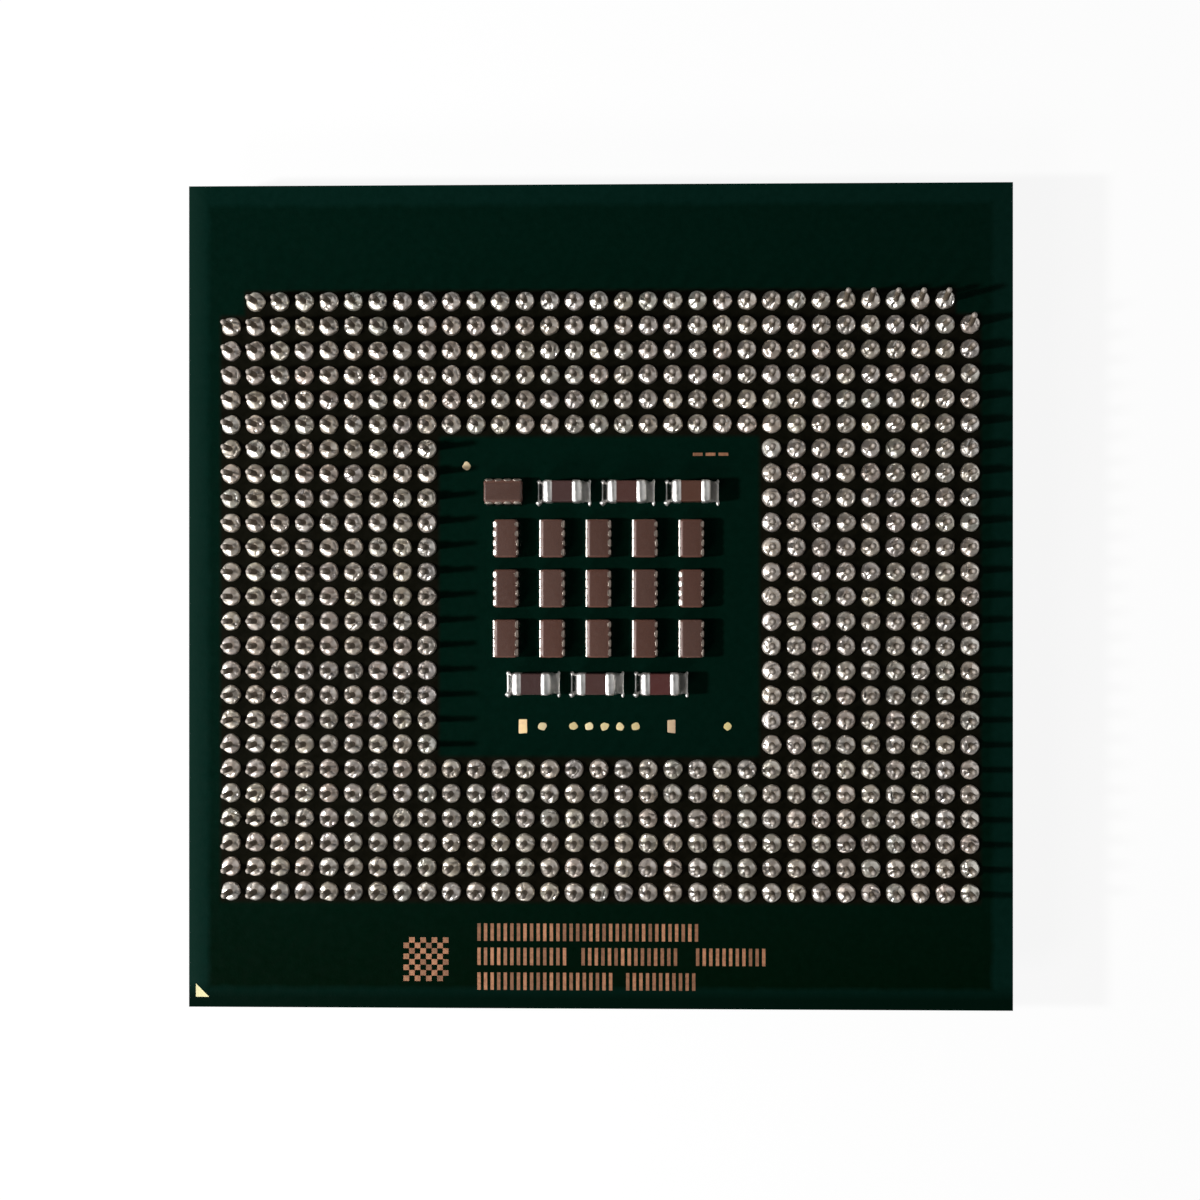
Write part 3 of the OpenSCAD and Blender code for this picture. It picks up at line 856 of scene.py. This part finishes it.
def chip_toe_rings(big_end, foot, bead):
    """Rings along the bead at the toe of that solder.

    It has a blob near each end, the bigger one at big_end.
    """
    half = CHIP_W / 2 + CAP_T
    thin, more, less = bead
    out = CAP_T + foot - thin
    arc = [math.radians(a) for a in BEAD_ANGLES]
    rings = []
    for i in range(TOE_STEPS + 1):
        v = TOE_START + TOE_LEN * i / TOE_STEPS
        r = thin + more * blob(v, *BIG_BLOB) + less * blob(v, *SMALL_BLOB)
        r *= 1 if 0 < i < TOE_STEPS else TOE_END_SHARE
        y = v * big_end * half
        rings.append([(out + r * math.cos(a), y, BEAD_H_SHARE * r * math.sin(a)) for a in arc])
    return rings


def turned_half(rings, reach, side):
    """Rings moved out along X by reach, then turned half round for the other side."""
    return [[(side * (px + reach), side * py, pz) for px, py, pz in ring] for ring in rings]


arrays = [
    (f"array_capacitor_{r}_{c}", 0) for r in range(1, ARRAY_ROWS + 1) for c in range(1, ARRAY_COLUMNS + 1)
] + [("lone_array_capacitor", 90)]
# Arrays whose bright lips stand apart. On the others they nearly meet.
PARTED = ("array_capacitor_1_1", "array_capacitor_2_1", "array_capacitor_2_5")
# Tints of the lips: darker on the right of the upright arrays and on the lone one, as painted shade
SHADED_TIN = (0.5, 0.43, 0.38)
WARM_TIN = (0.92, 0.85, 0.8)


def array_body(node, x, y, turn):
    """The ceramic of an array, lighter along its rounded upper edges."""
    level, warm = rng.uniform(*ARRAY_LEVELS), rng.uniform(*ARRAY_WARMTH)
    shade = (level, level * (1 - warm), level * (1 - BLUE_WARMTH * warm))
    high = TERMINAL_T + ARRAY_H
    rings = block_rings(ARRAY_L, ARRAY_W, TERMINAL_T, high, ARRAY_CORNER, ARRAY_CROWN, CROWN_AT_ENDS)
    body = Piece()
    body.loft(placed(rings, x, y, turn), [tuple(c * edge_lightness for c in shade) for edge_lightness in CROWN_LIGHTNESS])
    body.build(f"{node}_body", ceramic, "brown_ceramic", node)


def bright_terminal(node, run):
    """Rings and tint of a terminal on the left of an upright array."""
    lip = TERMINAL_LIP * rng.uniform(*BRIGHT_LIP)
    level = rng.uniform(*BRIGHT_LEVELS)
    tint = tuple(c * level for c in WARM_TIN)
    if node in PARTED:
        return terminal_rings(lip, run / 2, *TONGUE), tint
    return terminal_rings(lip * STRIP_SHARE, run / 2, *STRIP), tint


def shaded_terminal(turn):
    """Rings and tint of any other terminal, painted darker as painted shade."""
    lip_range, width_range = (LONE_LIP, LONE_WIDTH) if turn else (SHADED_LIP, SHADED_WIDTH)
    lip = TERMINAL_LIP * rng.uniform(*lip_range)
    half = TERMINAL_W / 2 * rng.uniform(*width_range)
    return terminal_rings(lip, half, *TONGUE), SHADED_TIN


terminals, solder = Piece(), Piece()
for node, turn in arrays:
    x, y = middle_mm(node)
    array_body(node, x, y, turn)
    run = TERMINAL_W * PARTED_SHARE if node in PARTED else TERMINAL_PITCH * rng.uniform(*JOINED_SHARE)
    for side in (1, -1):
        for i in range(TERMINAL_COUNT):
            along = (i - (TERMINAL_COUNT - 1) / 2) * TERMINAL_PITCH
            is_bright = side < 0 and turn == 0
            # Lips on the left get the lighter tint, and the others a painted shade
            shape, tint = bright_terminal(node, run) if is_bright else shaded_terminal(turn)
            drop = array_solder_rings(rng.uniform(*DROP_FULLNESS))
            for piece, rings, colour in ((terminals, shape, tint), (solder, drop, WHITE)):
                moved = [[(px, py + along, pz) for px, py, pz in ring] for ring in rings]
                piece.loft(placed(turned_half(moved, ARRAY_W / 2, side), x, y, turn), colour)
terminals.build("array_terminals_plated", tin, "tin_plate", "array_terminals")

# Ceramic of the chips: duller and more violet, or redder, than that of the arrays
CHIP_TINTS = {
    "upper_chip_capacitor_1": (0.7, 0.72, 0.9),
    "upper_chip_capacitor_2": (0.85, 0.76, 0.85),
    "upper_chip_capacitor_3": (1.0, 0.9, 0.8),
    "lower_chip_capacitor_1": (0.6, 0.62, 0.78),
    "lower_chip_capacitor_2": (0.75, 0.72, 0.85),
    "lower_chip_capacitor_3": (0.9, 0.58, 0.7),
}
# The solder is bright in front of the left ends, and matt in front of the right ends and in the beads
MATT_SOLDER = (0.6, 0.6, 0.6)
caps, toes = Piece(), Piece()
for row in ("upper", "lower"):
    for i in range(1, CHIP_COUNT + 1):
        node = f"{row}_chip_capacitor_{i}"
        x, y = middle_mm(node)
        body = Piece()
        ceramic_l, high = CHIP_L - 2 * CHIP_HIDDEN, CAP_T + CHIP_H
        rings = block_rings(CHIP_W, ceramic_l, CAP_T, high, CHIP_CORNER, CHIP_EDGE, 1)
        body.loft(placed(rings, x, y), CHIP_TINTS[node])
        body.build(f"{node}_body", ceramic, "brown_ceramic", node)
        for side, foot, bead in ((1, RIGHT_FOOT, RIGHT_BEAD), (-1, LEFT_FOOT, LEFT_BEAD)):
            caps.loft(placed(turned_half(cap_rings(), CHIP_L / 2, side), x, y))
            fillet = placed(turned_half(chip_solder_rings(foot), CHIP_L / 2, side), x, y)
            if side > 0:
                toes.loft(fillet, MATT_SOLDER)
            else:
                solder.loft(fillet)
            toe = chip_toe_rings(-side, foot, bead)
            toes.loft(placed(turned_half(toe, CHIP_L / 2, side), x, y))
caps.build("chip_end_caps", tin, "tin_plate", "chip_terminals", sharp_deg=CHIP_SHARP_DEG)
for piece, name, paint in (
    (solder, "capacitor_solder_fillets", cap_solder), (toes, "capacitor_solder_toes", toe_solder)
):
    piece.build(name, paint, "solder", "capacitor_solder", sharp_deg=CHIP_SHARP_DEG)

# Gold pads, slightly uneven, in their recesses in the mask
PAD_Y = -6.69
PAD_RISE = 0.01
PAD_T = 0.03
# Steps of a pad from its underside up: share of the outline, and height
PAD_PROFILE = ((1, PAD_RISE - PAD_T), (1, PAD_RISE * 0.6), (0.9, PAD_RISE), (0.55, PAD_RISE * 1.5))
PAD_SHRINK = 0.95
PAD_WAVE, PAD_WAVE_SCALE = 0.3, 5
# Dots: five in a row and two more below the capacitors, and one above them
DOT_R = 0.235
DOT_SHARE = 0.93
DOT_SIDES = 24
DOT_MIDDLE, DOT_PITCH = 0.29, 0.8
DOT_X = [DOT_MIDDLE + DOT_PITCH * i for i in range(-2, 3)] + [-2.92, 6.63]
FIDUCIAL = (-6.84, 6.73)
DOT_LEVELS, DOT_GREEN, DOT_BLUE = (0.6, 0.85), (1.0, 1.08), (0.8, 1.1)
# Bars: places and tints
BAR_W, BAR_L = 0.47, 0.79
BAR_SHARE = 0.9
BAR_CORNER = 0.05
BARS = ((-3.92, (0.93, 0.86, 0.79)), (3.72, (0.58, 0.53, 0.58)))


def pad_rings(outline, x, y):
    """Rings of a thin pad with a slightly uneven outline and a low crown."""
    seed = rng.uniform(0, NOISE_SEEDS)
    rings = []
    for scale, h in PAD_PROFILE:
        ring = []
        for px, py in outline:
            wave = noise.noise((PAD_WAVE_SCALE * px, PAD_WAVE_SCALE * py, seed))
            uneven = PAD_SHRINK + PAD_WAVE * wave
            ring.append((x + px * scale * uneven, y + py * scale * uneven, BOARD_Z + h))
        rings.append(ring)
    return rings


pads = Piece()
dot = [(px, py) for px, py, _ in circle(0, 0, 0, DOT_R * DOT_SHARE, DOT_SIDES)]
bar = rounded_outline(BAR_W * BAR_SHARE, BAR_L * BAR_SHARE, BAR_CORNER)
for x, y in [(x, PAD_Y) for x in DOT_X] + [FIDUCIAL]:
    level = rng.uniform(*DOT_LEVELS)
    rings = pad_rings(dot, x, y)
    pads.loft(rings, (level, level * rng.uniform(*DOT_GREEN), level * rng.uniform(*DOT_BLUE)))
for x, tint in BARS:
    pads.loft(pad_rings(bar, x, PAD_Y), tint)
pads.build("gold_test_pads", gold, "gold_plate", "test_pads")

# Plain fields where the photo has print: hatched bars, a checked square and three dashes
PRINT_H = 0.006
PRINT_LEVELS = (0.55, 1.1)
PRINT_SHARP_DEG = 20
# Hatched bars: left end, right end and middle height
HATCHED = (
    (-6.28, 5.38, -17.32),
    (-6.28, -1.6, -18.57),
    (-0.9, 4.2, -18.57),
    (5.0, 8.69, -18.57),
    (-6.28, 0.9, -19.85),
    (1.4, 5.0, -19.85),
)
HATCHED_HALF_H = 0.45
HATCH = 0.34
HATCH_SHARE = 0.5
# Checked square: middle, width and height
CHECKED_X, CHECKED_Y = -8.94, -18.73
CHECKED_W, CHECKED_H = 2.33, 2.26
CHECKS = 8
# Dashes: left end of the first, pitch, length, lower and upper edge
DASHES = 3
DASH_X = 4.84
DASH_PITCH = 0.66
DASH_L = 0.5
DASH_LOW, DASH_HIGH = 7.24, 7.4


def plate(piece, x0, y0, x1, y1):
    """Adds a thin rectangle of print between two corners."""
    ring = [(x0, y0), (x1, y0), (x1, y1), (x0, y1)]
    level = rng.uniform(*PRINT_LEVELS)
    piece.loft([[(px, py, BOARD_Z + h) for px, py in ring] for h in (0, PRINT_H)], (level, level, level))


fields = Piece()
for x0, x1, y in HATCHED:
    for i in range(round((x1 - x0) / HATCH)):
        left = x0 + i * HATCH
        plate(fields, left, y - HATCHED_HALF_H, left + HATCH * HATCH_SHARE, y + HATCHED_HALF_H)
side_x, side_y = CHECKED_W / CHECKS, CHECKED_H / CHECKS
for i in range(CHECKS):
    for j in range(CHECKS):
        if (i + j) % 2 == 0:
            left = CHECKED_X + (i - CHECKS / 2) * side_x
            low = CHECKED_Y + (j - CHECKS / 2) * side_y
            plate(fields, left, low, left + side_x, low + side_y)
for i in range(DASHES):
    left = DASH_X + i * DASH_PITCH
    plate(fields, left, DASH_LOW, left + DASH_L, DASH_HIGH)
fields.build("print_fields", copper, "copper_print", sharp_deg=PRINT_SHARP_DEG)

# Floor: white to the eye, with a light shadow. It is open under the lid's face, and clear from below.
FLOOR = 4000
FLOOR_COLOUR = (0.92, 0.92, 0.92, 1)
LID_FACE = 33.7
LID_CORNER = 1.5
# Distances from the middle over which the shadow fades out, and the share of white up to there
SHADOW_END = (45, 110)
GLOW = 0.9


def floor_paint():
    """Matt white whose shadow shows a little through a white glow, which only seen rays meet."""
    paint = Paint("floor", {"Base Color": FLOOR_COLOUR, "Roughness": 1.0, "Specular IOR Level": 0.0})
    away = paint.node("ShaderNodeVectorMath", {"Vector": paint.place}, operation="LENGTH").outputs["Value"]
    share = paint.math("MULTIPLY", paint.seen(), paint.span(away, *SHADOW_END, GLOW, 1.0))
    glow = paint.node("ShaderNodeEmission", {"Strength": 1.0}).outputs[0]
    matt = paint.shader.outputs[0]
    above = paint.node("ShaderNodeMixShader", {0: share, 1: matt, 2: glow}).outputs[0]
    clear = paint.node("ShaderNodeBsdfTransparent", {}).outputs[0]
    behind = paint.node("ShaderNodeNewGeometry", {}).outputs["Backfacing"]
    surface = paint.node("ShaderNodeMixShader", {0: behind, 1: above, 2: clear}).outputs[0]
    paint.feed(paint.tree.nodes["Material Output"].inputs["Surface"], surface)
    return paint


rings = [rounded_outline(w, w, LID_CORNER) for w in (LID_FACE, FLOOR)]
count = len(rings[0])
floor_mesh = bpy.data.meshes.new("floor")
floor_mesh.from_pydata(
    [(px * MM, py * MM, 0) for ring in rings for px, py in ring],
    [],
    [(i, count + i, count + (i + 1) % count, (i + 1) % count) for i in range(count)],
)
floor = bpy.data.objects.new("floor", floor_mesh)
bpy.context.scene.collection.objects.link(floor)
floor_mesh.materials.append(floor_paint().material)

# Weak fill from above, stronger near the horizon and on the left: levels at two heights, and left and right
DOME_Z, DOME_LEVELS = (0.0, 0.45), (0.4, 0.04)
DOME_X, DOME_SIDE_LEVELS = (-0.6, 0.6), (1.0, 0.5)
# The camera sees white behind the object. Metal shows a white horizon, which fades upwards and downwards.
HORIZON_Z = (0.04, 0.14)
BELOW_Z, BELOW_LEVELS = (-0.9, 0.0), (0.4, 1.0)
scene = bpy.context.scene
world = bpy.data.worlds.new("studio")
scene.world = world
world.use_nodes = True
studio = Nodes(world.node_tree)
direction = studio.node("ShaderNodeTexCoord", {}).outputs["Generated"]
sky = studio.node("ShaderNodeSeparateXYZ", {"Vector": direction}).outputs
dome = studio.math(
    "MULTIPLY",
    studio.span(sky["Z"], *DOME_Z, *DOME_LEVELS),
    studio.span(sky["X"], *DOME_X, *DOME_SIDE_LEVELS),
)
horizon = studio.math("MULTIPLY", studio.span(sky["Z"], *HORIZON_Z, 1.0, 0.0), studio.seen())
horizon = studio.math("MULTIPLY", horizon, studio.span(sky["Z"], *BELOW_Z, *BELOW_LEVELS))
camera_ray = studio.node("ShaderNodeLightPath", {}).outputs["Is Camera Ray"]
backdrop = studio.math("MAXIMUM", horizon, camera_ray)
background = studio.tree.nodes["Background"].inputs
studio.feed(background["Strength"], studio.math("MAXIMUM", dome, backdrop))
studio.feed(background["Color"], (1, 1, 1, 1))


def add_lamp(name, distance, elevation_deg, azimuth_deg, size, radiance):
    """A disk lamp aimed at the board's middle. Its radiance is what a mirror shows, where 1 is white."""
    elevation, azimuth = math.radians(elevation_deg), math.radians(azimuth_deg)
    towards = Vector((
        math.cos(elevation) * math.cos(azimuth), math.cos(elevation) * math.sin(azimuth), math.sin(elevation)
    ))
    lamp = bpy.data.lights.new(name, "AREA")
    lamp.shape = "DISK"
    lamp.size = size * MM
    lamp.energy = radiance * math.pi ** 2 * (size / 2 * MM) ** 2
    placed_lamp = bpy.data.objects.new(name, lamp)
    scene.collection.objects.link(placed_lamp)
    placed_lamp.location = (Vector((0, 0, BOARD_Z)) + towards * distance) * MM
    placed_lamp.rotation_euler = towards.to_track_quat("Z", "Y").to_euler()


# A small key lamp low on the left, a broad window at the lower left and a weaker, broader one on the right
add_lamp("key", distance=170, elevation_deg=36.5, azimuth_deg=184, size=13, radiance=855)
add_lamp("window", distance=190, elevation_deg=38, azimuth_deg=230, size=70, radiance=11)
add_lamp("fill", distance=190, elevation_deg=35, azimuth_deg=20, size=220, radiance=0.65)

# Camera, above the pins: the photo's scale and where the board's middle lies in it
PX_PER_MM = 19.41
PHOTO_PX = 1200
PHOTO_MIDDLE = (598.9, 596.5)
CAMERA_DISTANCE = 109
CAMERA_TILT = math.radians(1.5)
SHIFT = -0.03
SENSOR = 36
CLIP_START = 1
frame_w = PHOTO_PX / PX_PER_MM
camera_data = bpy.data.cameras.new("camera")
camera_data.sensor_width = SENSOR
camera_data.lens = SENSOR * CAMERA_DISTANCE / frame_w
camera_data.shift_x = SHIFT
camera_data.clip_start = CLIP_START * MM
camera = bpy.data.objects.new("camera", camera_data)
scene.collection.objects.link(camera)
look_at = Vector((
    (PHOTO_PX / 2 - PHOTO_MIDDLE[0]) / PX_PER_MM - SHIFT * frame_w,
    (PHOTO_MIDDLE[1] - PHOTO_PX / 2) / PX_PER_MM,
    BOARD_Z,
))
back = Vector((math.sin(CAMERA_TILT), 0, math.cos(CAMERA_TILT)))
up = Vector((0, 1, 0))
pose = Matrix((up.cross(back), up, back)).transposed().to_4x4()
pose.translation = (look_at + back * CAMERA_DISTANCE) * MM
camera.matrix_world = pose
scene.camera = camera
scene.view_settings.view_transform = "Standard"
